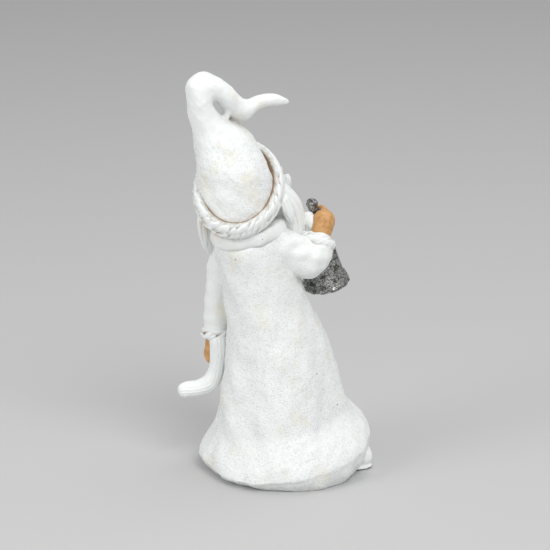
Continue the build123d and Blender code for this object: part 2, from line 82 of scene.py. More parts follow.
class GnomeColours(bpy.types.PropertyGroup):
    """Colours of the paint, as sRGB hex values."""

    white: bpy.props.StringProperty(name="White paint", description="Cool white top coat", default="F1F4F3")
    cream: bpy.props.StringProperty(name="Aged white", description="Yellowed top coat", default="EDE6D2")
    # The grey and the brown below are painted shade: grey laid into hollows, creases and grooves, brown
    # where that shade is deepest.
    shade: bpy.props.StringProperty(name="Grey painted shade", description="Painted shade in hollows and creases", default="B4AFA6")
    deep_shade: bpy.props.StringProperty(name="Brown painted shade", description="Painted shade where grooves are deepest", default="8A6A4A")
    skin: bpy.props.StringProperty(name="Skin", description="Tan paint of face and hands", default="D3A36C")
    leaf: bpy.props.StringProperty(name="Silver leaf", description="Silver of the bell", default="C9CAC6")
    under: bpy.props.StringProperty(
        name="Under coat", description="Dark paint under the leaf", default="3C3C39")
    floor: bpy.props.StringProperty(name="Floor", description="Matte grey floor", default="C4C4C4")


# ---------------------------------------------------------------- modelling
def start_modelling():
    """Object mode with nothing selected, so that the next operator acts on its own piece alone."""
    if bpy.context.object and bpy.context.object.mode != "OBJECT":
        bpy.ops.object.mode_set(mode="OBJECT")
    bpy.ops.object.select_all(action="DESELECT")


def choose(piece):
    start_modelling()
    piece.select_set(True)
    bpy.context.view_layer.objects.active = piece


def named(name):
    piece = bpy.context.object
    piece.name = name
    piece.data.name = name
    return piece


def modify(piece, kind, **settings):
    """Adds a modifier with its settings and applies it."""
    choose(piece)
    modifier = piece.modifiers.new(kind.title(), kind)
    for key, value in settings.items():
        setattr(modifier, key, value)
    bpy.ops.object.modifier_apply(modifier=modifier.name)
    return piece


def points(piece):
    """The vertices' places in millimetres."""
    flat = np.empty(len(piece.data.vertices) * 3, np.float32)
    piece.data.vertices.foreach_get("co", flat)
    return flat.reshape(-1, 3).astype(float) / MM


def pull(piece, places):
    """Puts the vertices in their places, given in millimetres."""
    flat = (np.asarray(places) * MM).astype(np.float32).ravel()
    piece.data.vertices.foreach_set("co", flat)
    piece.data.update()
    return piece


def normals(piece):
    flat = np.empty(len(piece.data.vertices) * 3, np.float32)
    piece.data.vertex_normals.foreach_get("vector", flat)
    return flat.reshape(-1, 3).astype(float)


def lump(piece, size, depth, seed=0):
    """Uneven surface of a hand-shaped master: soft lumps of a size, as waves in many directions."""
    chance = np.random.default_rng(seed)
    places = points(piece)
    height = np.zeros(len(places))
    for _ in range(24):
        way = chance.normal(size=3)
        way /= np.linalg.norm(way)
        pace = 2 * pi / (size * chance.uniform(0.8, 1.9))
        height += np.cos(places @ way * pace + chance.uniform(0, 2 * pi))
    return pull(piece, places + normals(piece) * (height * depth / 5)[:, None])


def paint(piece, name, values):
    """Stores one number per vertex for the materials to read."""
    layer = piece.data.attributes.get(name) or piece.data.attributes.new(name, "FLOAT", "POINT")
    layer.data.foreach_set("value", np.clip(values, 0, 1).astype(np.float32))
    return piece


def painted(piece, name):
    values = np.empty(len(piece.data.vertices), np.float32)
    piece.data.attributes[name].data.foreach_get("value", values)
    return values


def outward(piece):
    """Merges doubles and turns every face outwards."""
    choose(piece)
    bpy.ops.object.mode_set(mode="EDIT")
    bpy.ops.mesh.select_all(action="SELECT")
    bpy.ops.mesh.remove_doubles(threshold=0.00001)
    bpy.ops.mesh.normals_make_consistent(inside=False)
    bpy.ops.object.mode_set(mode="OBJECT")
    return piece


def through(rows, steps):
    """Rows of numbers on a smooth line through the given rows."""
    rows = np.asarray(rows, float)
    ends = np.vstack([2 * rows[0] - rows[1], rows, 2 * rows[-1] - rows[-2]])
    share = np.arange(steps)[:, None] / steps
    line = []
    for before, start, end, after in zip(ends, ends[1:], ends[2:], ends[3:]):
        bend = 2 * before - 5 * start + 4 * end - after
        twist = 3 * start - before - 3 * end + after
        line.append(0.5 * (2 * start + (end - before) * share + bend * share**2 + twist * share**3))
    return np.vstack([*line, rows[-1:]])


def ring(centre, side, normal, half_width, half_depth):
    """Matrix that carries the unit circle to an oval ring."""
    normal = Vector(normal).normalized()
    side = Vector(side)
    side = (side - normal * side.dot(normal)).normalized()
    front = normal.cross(side)
    columns = (side * half_width, front * half_depth, normal, Vector(centre))
    rows = [[column[row] * MM for column in columns] for row in range(3)]
    return Matrix([*rows, (0, 0, 0, 1)])


def lofted(name, rings, sides):
    """Closed body: a filled circle is extruded from ring to ring."""
    start_modelling()
    bpy.ops.mesh.primitive_circle_add(vertices=sides, radius=1.0, fill_type="NGON")
    piece = named(name)
    bpy.ops.object.mode_set(mode="EDIT")
    bpy.ops.mesh.select_all(action="SELECT")
    before = Matrix.Identity(4)
    for index, place in enumerate(rings):
        if index:
            bpy.ops.mesh.extrude_region_move()
        sheet = bmesh.from_edit_mesh(piece.data)
        chosen = [vertex for vertex in sheet.verts if vertex.select]
        bmesh.ops.transform(sheet, matrix=place @ before.inverted(), verts=chosen)
        bmesh.update_edit_mesh(piece.data)
        before = place
    bpy.ops.object.mode_set(mode="OBJECT")
    return outward(piece)


def dome(row, along, steps):
    """Rings that close a limb's end in a dome, from the limb outwards."""
    along = Vector(along).normalized()
    reach = min(row[3], row[4])
    rings = []
    for step in range(1, steps + 1):
        turn = radians(DOME_END * step / steps)
        centre = Vector(row[:3]) + along * (reach * sin(turn))
        rings.append((centre, row[3] * cos(turn), row[4] * cos(turn)))
    return rings


def limb(name, rows, side=(1, 0, 0.1), steps=6, sides=28):
    """Rounded limb along a smooth line; its two ends are domes."""
    line = through(rows, steps)
    run = np.gradient(line[:, :3], axis=0)
    rings = []
    for centre, width, depth in reversed(dome(line[0], -run[0], DOME_STEPS)):
        rings.append(ring(centre, side, run[0], width, depth))
    for row, along in zip(line, run):
        rings.append(ring(row[:3], side, along, row[3], row[4]))
    for centre, width, depth in dome(line[-1], run[-1], DOME_STEPS):
        rings.append(ring(centre, side, run[-1], width, depth))
    return lofted(name, rings, sides)


def merge(name, parts, voxel, smooth=4):
    """Parts joined into one skin, remeshed and rubbed smooth, as a modeller blends clay."""
    choose(parts[0])
    for part in parts[1:]:
        part.select_set(True)
    if len(parts) > 1:
        bpy.ops.object.join()
    piece = named(name)
    modify(piece, "REMESH", mode="VOXEL", voxel_size=voxel * MM)
    if smooth:
        modify(piece, "SMOOTH", factor=0.5, iterations=smooth)
    return piece


def melt_into(piece, trees, reach):
    """Draws a skin out towards its neighbours, so that the joint between them is soft."""
    places = points(piece)
    lift = np.zeros(len(places))
    for index, place in enumerate(places):
        for tree in trees:
            spot, facing, _, far = tree.find_nearest(Vector(place * MM), reach * MM)
            if spot is None:
                continue
            gap = far / MM
            swell = (reach - gap) ** 2 / (4 * reach)
            if (Vector(place * MM) - spot).dot(facing) < 0:
                swell *= max(0.0, 1 - 2.5 * gap / reach)
            lift[index] = max(lift[index], swell)
    return pull(piece, places + normals(piece) * lift[:, None])


def surface(piece):
    """The piece's faces as a tree that finds the nearest spot on them."""
    corners = [vertex.co.copy() for vertex in piece.data.vertices]
    return BVHTree.FromPolygons(corners, [tuple(face.vertices) for face in piece.data.polygons])


def finish_piece(piece, material, slot, *nodes):
    """Smooth shading, material, and the piece's tie to the frame."""
    choose(piece)
    bpy.ops.object.shade_smooth()
    piece.data.materials.clear()
    piece.data.materials.append(material)
    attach(piece, BODY)
    if nodes:
        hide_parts(*nodes)
    return piece


# ---------------------------------------------------------------- materials
def linear(hex_colour):
    """sRGB hex value as linear RGBA."""
    channels = [int(hex_colour[i:i + 2], 16) / 255 for i in (0, 2, 4)]
    return (*(c / 12.92 if c <= 0.04045 else ((c + 0.055) / 1.055) ** 2.4 for c in channels), 1.0)


def node(tree, kind, inputs=None, **settings):
    """Adds a node; inputs are values or the sockets that feed them."""
    made = tree.nodes.new(kind)
    for key, value in settings.items():
        setattr(made, key, value)
    for key, value in (inputs or {}).items():
        if isinstance(value, bpy.types.NodeSocket):
            tree.links.new(value, made.inputs[key])
        else:
            made.inputs[key].default_value = value
    return made


def new_material(name, roughness, **constants):
    """Material with its shader; constants go on the shader's own sockets."""
    material = bpy.data.materials.new(name)
    material.use_nodes = True
    tree = material.node_tree
    shader = tree.nodes["Principled BSDF"]
    shader.inputs["Roughness"].default_value = roughness
    for key, value in constants.items():
        shader.inputs[key.replace("_", " ")].default_value = value
    return material, tree, shader


def own_place(tree, grain, offset=0.0):
    """Object coordinates in which one unit is a grain of so many millimetres."""
    place = node(tree, "ShaderNodeTexCoord")
    scale = 1 / (grain * MM)
    inputs = {"Vector": place.outputs["Object"], "Scale": (scale,) * 3, "Location": (offset,) * 3}
    return node(tree, "ShaderNodeMapping", inputs).outputs["Vector"]


def ramp(tree, value, low, high):
    """Value carried from low..high to 0..1, softly."""
    inputs = {"Value": value, "From Min": low, "From Max": high}
    return node(tree, "ShaderNodeMapRange", inputs, interpolation_type="SMOOTHSTEP").outputs["Result"]


def mixed(tree, share, first, second):
    return node(tree, "ShaderNodeMix", {0: share, 6: first, 7: second}, data_type="RGBA").outputs[2]


def sums(tree, kind, *values):
    return node(tree, "ShaderNodeMath", dict(enumerate(values)), operation=kind).outputs[0]


def noise(tree, size, detail=3.0, rough=0.55, offset=0.0):
    inputs = {"Vector": own_place(tree, size, offset), "Scale": 1.0, "Detail": detail, "Roughness": rough}
    return node(tree, "ShaderNodeTexNoise", inputs).outputs["Fac"]


def cells(tree, size, feature="F1"):
    inputs = {"Vector": own_place(tree, size), "Scale": 1.0}
    return node(tree, "ShaderNodeTexVoronoi", inputs, feature=feature)


def channel(tree, colour, index):
    return node(tree, "ShaderNodeSeparateColor", {"Color": colour}).outputs[index]


def attribute(tree, name):
    return node(tree, "ShaderNodeAttribute", attribute_name=name).outputs["Fac"]


def bumped(tree, shader, *layers):
    """Stacks bumps of (height, depth in mm) on the shader's normal."""
    normal = None
    for height, depth in layers:
        inputs = {"Height": height, "Strength": 1.0, "Distance": depth * MM}
        if normal is not None:
            inputs["Normal"] = normal
        normal = node(tree, "ShaderNodeBump", inputs).outputs["Normal"]
    tree.links.new(normal, shader.inputs["Normal"])


def aged_white(tree, colours, cream_share=0.5):
    """White paint with yellowed clouds, and painted grey shade in hollows and creases."""
    clouds = ramp(tree, noise(tree, 9.0, 4.0, 0.6), 0.52, 0.74)
    tint = sums(tree, "MULTIPLY", clouds, cream_share)
    base = mixed(tree, tint, linear(colours.white), linear(colours.cream))
    # Painted shade: grey mixed in where the vertices are marked as lying in a crease or fold.
    hollow = sums(tree, "MULTIPLY", attribute(tree, "deep_shade"), 0.6)
    return mixed(tree, hollow, base, linear(colours.shade))


def snow_material(colours, sizes):
    """Water-based white paint with fine clear glitter grit: matte, with glints and grey flecks."""
    material, tree, shader = new_material("glitter_snow_paint", 0.62, Specular_IOR_Level=0.4)
    base = aged_white(tree, colours, 0.55)
    # Real grains are about 0.2 mm; they are drawn twice as large so that they show.
    grains = cells(tree, sizes.grit)
    amount = attribute(tree, "grit")
    fleck = ramp(tree, channel(tree, grains.outputs["Color"], 0), 0.70, 0.98)
    dark = sums(tree, "MULTIPLY", sums(tree, "MULTIPLY", fleck, amount), 0.26)
    base = mixed(tree, dark, base, linear("A9B0B4"))
    stain = ramp(tree, noise(tree, 5.0, 3.0, 0.5, 3.1), 0.62, 0.80)
    base = mixed(tree, sums(tree, "MULTIPLY", stain, 0.45), base, linear(colours.cream))
    pores = ramp(tree, cells(tree, 11.0).outputs["Distance"], 0.036, 0.022)
    base = mixed(tree, pores, base, linear("77736C"))
    tree.links.new(base, shader.inputs["Base Color"])
    glint = ramp(tree, channel(tree, grains.outputs["Color"], 1), 0.86, 0.9)
    drop = sums(tree, "MULTIPLY", sums(tree, "MULTIPLY", glint, amount), 0.42)
    tree.links.new(sums(tree, "SUBTRACT", 0.62, drop), shader.inputs["Roughness"])
    facets = sums(tree, "MULTIPLY", grains.outputs["Distance"], amount)
    bumped(tree, shader, (facets, 0.16), (noise(tree, 1.3, 4.0), 0.16))
    return material


def plain_material(name, colours, cream_share=0.35, bump=0.07):
    """Brushed matte white paint on smooth cast resin."""
    material, tree, shader = new_material(name, 0.55, Specular_IOR_Level=0.4)
    base = aged_white(tree, colours, cream_share)
    pores = ramp(tree, cells(tree, 9.0).outputs["Distance"], 0.035, 0.022)
    base = mixed(tree, sums(tree, "MULTIPLY", pores, 0.7), base, linear("A98F6A"))
    tree.links.new(base, shader.inputs["Base Color"])
    bumped(tree, shader, (noise(tree, 0.9, 4.0), bump), (noise(tree, 0.3, 2.0), bump * 0.4))
    return material


def carved_material(name, colours, brown_shade_share=0.9, grain=0.35):
    """White paint over carved resin, with painted shade in the grooves: grey, and brown where they are
    deepest.
    """
    material, tree, shader = new_material(name, 0.6, Specular_IOR_Level=0.35)
    uneven = sums(tree, "MULTIPLY", sums(tree, "SUBTRACT", noise(tree, 2.6, 3.0), 0.5), 0.5)
    # Painted shade: the marked depth, made uneven, turns the paint grey in the grooves and brown where they
    # are deepest.
    depth = sums(tree, "ADD", attribute(tree, "deep_shade"), uneven)
    grey = mixed(tree, ramp(tree, depth, 0.30, 0.95), linear(colours.white), linear(colours.shade))
    brown = sums(tree, "MULTIPLY", ramp(tree, depth, 0.74, 1.02), brown_shade_share)
    base = mixed(tree, brown, grey, linear(colours.deep_shade))
    stain = sums(tree, "MULTIPLY", ramp(tree, noise(tree, 6.0, 3.0, 0.5, 1.3), 0.58, 0.8), 0.35)
    base = mixed(tree, stain, base, linear(colours.cream))
    tree.links.new(base, shader.inputs["Base Color"])
    bumped(tree, shader, (noise(tree, grain, 3.0), 0.07))
    return material


def skin_material(colours):
    """Tan matte acrylic with a little mottling, and a white patch on top of the fist."""
    material, tree, shader = new_material("tan_skin_paint", 0.5, Specular_IOR_Level=0.45)
    clouds = ramp(tree, noise(tree, 1.6, 4.0), 0.35, 0.75)
    mottled = mixed(tree, clouds, linear(colours.skin), linear("B98650"))
    # White mixed in where the vertices carry the white patch.
    over = ramp(tree, sums(tree, "ADD", attribute(tree, "white_patch"), noise(tree, 0.9)), 0.95, 1.15)
    base = mixed(tree, over, mottled, linear(colours.white))
    tree.links.new(base, shader.inputs["Base Color"])
    bumped(tree, shader, (noise(tree, 0.5, 3.0), 0.05))
    return material


def leaf_material(colours):
    """Crackled silver leaf on dark paint: creased metal flakes with dark gaps between them."""
    material, tree, shader = new_material("crackled_silver_leaf", 0.3)
    cracks = cells(tree, 1.5, "DISTANCE_TO_EDGE").outputs["Distance"]
    worn = noise(tree, 1.7, 4.0, 0.7)
    bare = sums(tree, "MAXIMUM", ramp(tree, cracks, 0.09, 0.02), ramp(tree, worn, 0.50, 0.60))
    flakes = channel(tree, cells(tree, 0.9).outputs["Color"], 0)
    silver = mixed(tree, flakes, linear("9A9B98"), linear(colours.leaf))
    base = mixed(tree, bare, silver, linear(colours.under))
    tree.links.new(base, shader.inputs["Base Color"])
    metal = sums(tree, "SUBTRACT", 1.0, sums(tree, "MULTIPLY", bare, 0.75))
    tree.links.new(metal, shader.inputs["Metallic"])
    dull = sums(tree, "ADD", 0.2, sums(tree, "MULTIPLY", worn, 0.35))
    tree.links.new(dull, shader.inputs["Roughness"])
    bumped(tree, shader, (flakes, 0.12), (worn, 0.35))
    return material


def boot_material(colours):
    """White paint that turns brown along the bottom edge, most towards the toe."""
    material, tree, shader = new_material("white_boot_paint_brown_base_edge", 0.5, Specular_IOR_Level=0.4)
    base = aged_white(tree, colours, 0.3)
    # Brown mixed in along the boot's bottom edge.
    brown_base_edge = ramp(tree, sums(tree, "ADD", attribute(tree, "brown_base_edge"), noise(tree, 1.1, 4.0)), 1.05, 1.3)
    base = mixed(tree, brown_base_edge, base, linear("8C6B4E"))
    tree.links.new(base, shader.inputs["Base Color"])
    bumped(tree, shader, (noise(tree, 0.9, 4.0), 0.07))
    return material


def bead_material():
    """Glossy black enamel dot of an eye."""
    material, tree, shader = new_material("black_enamel_bead", 0.15)
    tone = mixed(tree, ramp(tree, noise(tree, 0.6), 0.3, 0.7), linear("14110F"), linear("2A211B"))
    tree.links.new(tone, shader.inputs["Base Color"])
    return material


# ---------------------------------------------------------------- shared lines
SHOULDERS = Vector((7.1, 12.0, 87.0))
HEAD = Vector((9.3, 15.4, 104.5))
NECK_LINE = (HEAD - SHOULDERS).normalized()
RIM_TURN = radians(36.0)
RIM_TILT = radians(40.0)
RIM_SIDE = Vector((cos(RIM_TURN), sin(RIM_TURN), 0))
RIM_NORMAL = Vector((-sin(RIM_TURN) * sin(RIM_TILT), cos(RIM_TURN) * sin(RIM_TILT), cos(RIM_TILT)))
FOLD_TURN = radians(28.4)
FOLD_FORWARD = Vector((-sin(FOLD_TURN), -cos(FOLD_TURN), 0))
FOLD_SIDE = FOLD_FORWARD.cross(UP)
FACE_TURN = radians(20.0)
FACE_FORWARD = Vector((sin(FACE_TURN), -cos(FACE_TURN), 0))
FACE_LEFT = Vector((cos(FACE_TURN), sin(FACE_TURN), 0))
BELL_LINE = Vector((0, sin(radians(14.0)), cos(radians(14.0))))
GRIP = Vector((-2.8, -10.9, 90.8))
BELL_CROWN = GRIP - BELL_LINE * 10.5
RIGHT_WRIST = Vector((-8.2, -6.3, 83.8))
RIGHT_FIST = Vector((-8.2, -9.9, 90.8))
LEFT_WRIST = Vector((23.9, 12.1, 47.8))
LEFT_FIST = Vector((25.4, 12.4, 41.2))


def on_face(forward, left, up):
    """Point near the face, from the middle of the head."""
    return HEAD + FACE_FORWARD * forward + FACE_LEFT * left + UP * up


# ---------------------------------------------------------------- coat
HEM_RADIUS = 31.2
HEM_MIDDLE = 8.75
HEM_SLOPE = 10.5 / 62
LIP_LEVEL = 0.16      # share of the rings that lie below the hem's lip
FOOT_RADIUS = 28.0
FOOT_DEPTH = 24.0
FOOT_BACK = 4.0
# (height, left, back, radius) of the coat's body without its flare
BODY_ROWS = (
    (0, 0.0, 0.6, 27.6), (10, 0.1, 0.8, 26.0), (20, 0.7, 1.4, 24.0), (28, 1.1, 1.9, 22.4),
    (38, 1.4, 2.5, 20.2), (50, 2.1, 3.8, 17.8), (62, 4.0, 6.8, 15.1), (75, 5.7, 9.5, 13.8),
    (84, 6.7, 11.3, 13.3), (87, 7.1, 12.0, 12.4),
)


def near(turn, middle, width):
    """Bump of height 1 at an angle, in degrees, that fades over a width on both sides."""
    away = (turn - middle + 180) % 360 - 180
    return np.exp(-((away / width) ** 2))


def coat_shape(level, turn, fold_depth, flare_height):
    """Places of the coat's points: level runs 0 to 1 from the foot to the shoulders."""
    degree = np.degrees(turn)
    corner = near(degree, -140, 24)
    radius = HEM_RADIUS + 0.5 * near(degree, 42, 17) - 0.9 * near(degree, 70, 12) - 0.7 * corner
    lip = HEM_MIDDLE - HEM_SLOPE * radius * np.sin(turn) + 1.3 * corner - 0.6 * near(degree, 95, 30)
    rows = through(BODY_ROWS, 8)
    foot = level < LIP_LEVEL
    under = np.clip(level / LIP_LEVEL, 0, 1)
    above = np.clip((level - LIP_LEVEL) / (1 - LIP_LEVEL), 0, 1)
    height = np.where(foot, lip * under, lip + (87 - lip) * above**1.25)
    left, back, girth = [np.interp(height, rows[:, 0], rows[:, column]) for column in (1, 2, 3)]
    reach = flare_height + 3 * near(degree, 120, 60)
    share = np.clip((height - lip) / reach, 0, 1)
    fall = 1 - share * share * (3 - 2 * share)
    around = girth + (radius - np.interp(lip, rows[:, 0], rows[:, 3])) * fall
    waves = 0.9 * np.cos(5 * turn + 0.6) + 0.6 * np.cos(8 * turn + 2.1) + 0.5 * np.cos(3 * turn - 1.0)
    lower = np.exp(-(((height - 24) / 26) ** 2))
    around = around + fold_depth * waves * lower * np.clip((height - lip) / 8, 0, 1)
    around = around - near(degree, 172, 15) * np.exp(-(((height - 25) / 9) ** 2))
    # the wall under the lip runs in to the foot
    tuck = np.where(foot, (1 - under) ** 1.6, 0)
    around = around - np.where(foot, 2 * np.minimum(1 - under, 0.25), 0)
    x = (left + around * np.cos(turn)) * (1 - tuck) + FOOT_RADIUS * np.cos(turn) * tuck
    y = (back + around * np.sin(turn)) * (1 - tuck) + (FOOT_BACK + FOOT_DEPTH * np.sin(turn)) * tuck
    tilt = np.clip((height - 78) / 9, 0, 1)
    lean = (x - SHOULDERS.x) * NECK_LINE.x + (y - SHOULDERS.y) * NECK_LINE.y
    return np.stack([x, y, height - tilt * lean / NECK_LINE.z], axis=1)


def make_coat(sizes):
    """A circle is extruded ring by ring, then every ring is pulled out to the coat's shape."""
    levels = 110
    rings = [ring((0, 0, 100 * step / levels), (1, 0, 0), UP, 10, 10) for step in range(levels + 1)]
    coat = lofted("coat", rings, 176)
    places = points(coat)
    turn = np.arctan2(places[:, 1], places[:, 0])
    pull(coat, coat_shape(places[:, 2] / 100, turn, sizes.fold_depth, sizes.flare_height))
    lump(coat, 7.0, 0.26, 1)
    lump(coat, 2.6, 0.09, 2)
    places = points(coat)
    places[:, 2] = np.maximum(places[:, 2], 0)
    return outward(pull(coat, places))


def make_collar():
    """Plain band that rolls over at its top."""
    profile = ((0.2, 11.2), (0.0, 12.8), (0.8, 13.5), (2.2, 13.7), (3.6, 13.5), (4.6, 12.9), (4.9, 11.0))
    rows = through(profile, 4)
    rings = [ring(SHOULDERS + NECK_LINE * up, (1, 0, 0), NECK_LINE, r, r) for up, r in rows]
    return lump(lofted("collar", rings, 96), 5.0, 0.2, 3)


def make_right_sleeve():
    """Bent arm: shoulder, full elbow and a forearm that ends inside the cuff."""
    upper = limb("upper", (
        (1.0, 11.5, 87.0, 5.4, 5.4), (-3.4, 6.6, 84.6, 6.0, 6.0), (-7.2, 0.6, 79.6, 7.2, 7.0)))
    fore = limb("fore", (
        (-8.2, -0.4, 78.8, 7.2, 7.0), (-8.9, -4.0, 80.6, 6.6, 6.4), (-8.4, -6.6, 84.2, 5.0, 4.8)))
    return lump(merge("right_sleeve", [upper, fore], 0.5, 10), 4.0, 0.22, 4)


def make_left_sleeve():
    """Hanging arm that rests against the coat."""
    arm = limb("left_arm", (
        (18.4, 13.8, 80.0, 4.2, 4.4), (20.6, 13.6, 72.0, 4.5, 4.8), (22.0, 13.0, 62.0, 4.6, 5.0),
        (23.2, 12.4, 54.0, 4.7, 4.9), (24.0, 12.1, 48.2, 4.4, 4.6)), (1, 0, 0), 8, 40)
    return lump(merge("left_sleeve", [arm], 0.5, 2), 5.0, 0.2, 5)


class GNOME_OT_coat(bpy.types.Operator):
    """Coat with its flared hem, the collar and both sleeves"""

    bl_idname = "gnome.coat"
    bl_label = "Coat and sleeves"

    def execute(self, context):
        sizes, colours = context.scene.gnome_sizes, context.scene.gnome_colours
        snow = snow_material(colours, sizes)
        coat = make_coat(sizes)
        collar = make_collar()
        right = make_right_sleeve()
        left = make_left_sleeve()
        cloth, right_tree, left_tree = surface(coat), surface(right), surface(left)
        melt_into(coat, (right_tree, left_tree), sizes.melt)
        melt_into(right, (cloth,), sizes.melt)
        melt_into(left, (cloth,), sizes.melt * 0.5)
        for piece, share in ((coat, 1.0), (collar, 0.35), (right, 0.55), (left, 0.3)):
            paint(piece, "grit", np.full(len(piece.data.vertices), share))
        # Painted shade: grey laid into the crease under the right elbow, where sleeve and coat meet.
        crease = np.linalg.norm(points(coat) - np.array((-6.5, 3.0, 72.5)), axis=1)
        paint(coat, "deep_shade", np.exp(-((crease / 3.4) ** 2)) * 0.9)
        finish_piece(coat, snow, "snow_coat", "coat")
        finish_piece(collar, snow, "white_cloth", "collar")
        finish_piece(right, snow, "white_cloth", "right_sleeve")
        finish_piece(left, snow, "white_cloth", "left_sleeve")
        return {"FINISHED"}


# ---------------------------------------------------------------- hat
# (left, back, height, lean in degrees, half thickness, half width) along the hat
HAT_ROWS = (
    (9.0, 15.4, 95.0, 0, 13.2, 13.2), (10.1, 15.9, 105.0, 0, 13.4, 13.4),
    (11.3, 16.9, 114.0, 0, 12.5, 12.4), (15.2, 17.1, 123.0, 4, 10.7, 10.4),
    (16.4, 19.2, 126.9, 3, 8.8, 8.6), (18.2, 22.3, 130.1, 2, 5.9, 7.4),
    (19.1, 24.0, 133.8, 2, 4.5, 6.9), (19.4, 24.5, 136.6, 20, 4.7, 6.7),
    (19.3, 24.2, 139.0, 38, 5.5, 6.6), (18.6, 23.0, 140.6, 56, 5.7, 6.4),
    (17.6, 21.2, 141.0, 73, 5.4, 6.2), (16.7, 19.6, 140.4, 88, 4.7, 5.9),
    (15.7, 18.0, 139.1, 101, 4.3, 5.5), (14.7, 16.2, 136.8, 114, 4.1, 5.0),
    (13.6, 14.1, 134.2, 116, 4.2, 4.5), (12.2, 11.8, 131.9, 108, 4.3, 4.0),
    (10.8, 9.2, 132.0, 93, 3.7, 3.6), (9.1, 6.2, 133.9, 82, 2.6, 3.0),
    (7.0, 2.5, 134.6, 85, 2.3, 2.5), (4.8, -1.4, 134.3, 84, 1.8, 1.9),
    (3.8, -3.2, 133.8, 90, 1.2, 1.3), (3.3, -4.1, 133.5, 95, 0.7, 0.7),
    (3.2, -4.35, 133.4, 95, 0.1, 0.1),
)


def make_hat():
    """Cone that climbs, folds over and ends in a tail with an upturned tip."""
    rings = []
    for left, back, height, lean, thickness, width in through(HAT_ROWS, 5):
        facing = UP * cos(radians(lean)) + FOLD_FORWARD * sin(radians(lean))
        rings.append(ring((left, back, height), FOLD_SIDE, facing, width, thickness))
    hat = lofted("hat", rings, 72)
    web = limb("web", (
        (14.9, 18.6, 127.2, 3.0, 1.4), (14.0, 16.9, 130.6, 2.8, 1.2), (13.6, 15.8, 133.6, 2.4, 1.4)),
        FOLD_SIDE)
    hat = merge("hat", [hat, web], 0.42, 4)
    lump(hat, 6.0, 0.2, 6)
    lump(hat, 2.2, 0.07, 7)
    places = points(hat)
    # Painted shade: grey laid into the fold under the tail, round the web.
    from_web = np.linalg.norm(places - np.array((13.0, 14.5, 129.0)), axis=1)
    paint(hat, "deep_shade", np.exp(-((from_web / 4.2) ** 2)))
    plain = np.clip((places[:, 2] - 121) / 6, 0, 1)
    from_back = np.linalg.norm(places - np.array((9.0, 28.5, 99.0)), axis=1)
    return paint(hat, "grit", np.clip(1 - plain - 0.8 * np.exp(-((from_back / 8.5) ** 2)), 0.05, 1))


# ---------------------------------------------------------------- carved fur
def fur_relief(along, across, length, width, rows, columns, tilt, seed):
    """Height 0 to 1 of staggered leaf-shaped tufts on a band of a length and a width."""
    chance = random.Random(seed)
    relief = np.zeros(len(along))
    step = length / columns
    for row in range(rows):
        for column in range(columns):
            middle = (column + 0.5 * (row % 2) + chance.uniform(-0.16, 0.16)) * step
            level = (row + 0.5 + chance.uniform(-0.12, 0.12)) * width / rows - width / 2
            turn = tilt + chance.uniform(-0.22, 0.22)
            long = 0.88 * width / rows * chance.uniform(0.85, 1.2)
            wide = 0.62 * step * chance.uniform(0.85, 1.15)
            off = (along - middle + length / 2) % length - length / 2
            up = across - level
            run = (off * cos(turn) + up * sin(turn)) / long
            side = (up * cos(turn) - off * sin(turn)) / wide
            leaf = np.where(np.abs(run) < 1, 1 - side**2 / np.clip(1.02 - run**2, 0.02, 1), 0)
            swell = np.sqrt(np.clip(leaf, 0, 1)) * (0.62 + 0.38 * np.clip(run, -1, 1))
            hairs = 0.06 * np.cos(side * 9 + column)
            relief = np.maximum(relief, np.where(swell > 0, swell + hairs, 0))
    return np.clip(relief, 0, 1)


def fur_ring(name, centre, side, normal, half_width, half_depth, thick, tall, columns, rows, depth, seed):
    """Ring whose section is an oval, carved all over with leaf-shaped tufts."""
    start_modelling()
    bpy.ops.mesh.primitive_torus_add(
        major_segments=columns * 10, minor_segments=64, major_radius=1.0, minor_radius=0.25)
    piece = named(name)
    local = points(piece) * MM
    turn = np.arctan2(local[:, 1], local[:, 0])
    lift = np.arctan2(local[:, 2], np.hypot(local[:, 0], local[:, 1]) - 1.0)
    length = pi * (half_width + half_depth)
    along = (turn % (2 * pi)) / (2 * pi) * length
    across = lift / 2 * (thick + tall)
    relief = fur_relief(along, across, length, pi * (thick + tall) * 0.72, rows, columns, 0.72, seed)
    facing = np.clip((np.cos(lift) + 0.5) / 0.7, 0, 1)
    swell = 1 + (relief - 0.6) * depth * facing / (0.5 * (thick + tall))
    normal = np.array(Vector(normal).normalized())
    side = np.array(Vector(side).normalized())
    front = np.cross(normal, side)
    middle = np.cos(turn)[:, None] * side * half_width + np.sin(turn)[:, None] * front * half_depth
    radial = middle / np.linalg.norm(middle, axis=1)[:, None]
    away = (thick * np.cos(lift) * swell)[:, None]
    rise = (tall * np.sin(lift) * swell)[:, None]
    pull(piece, np.array(centre) + middle + radial * away + normal * rise)
    # Painted shade: the paint darkens in the grooves between tufts and all over the ring's inner side.
    paint(piece, "deep_shade", 1 - relief * facing)
    return outward(piece)


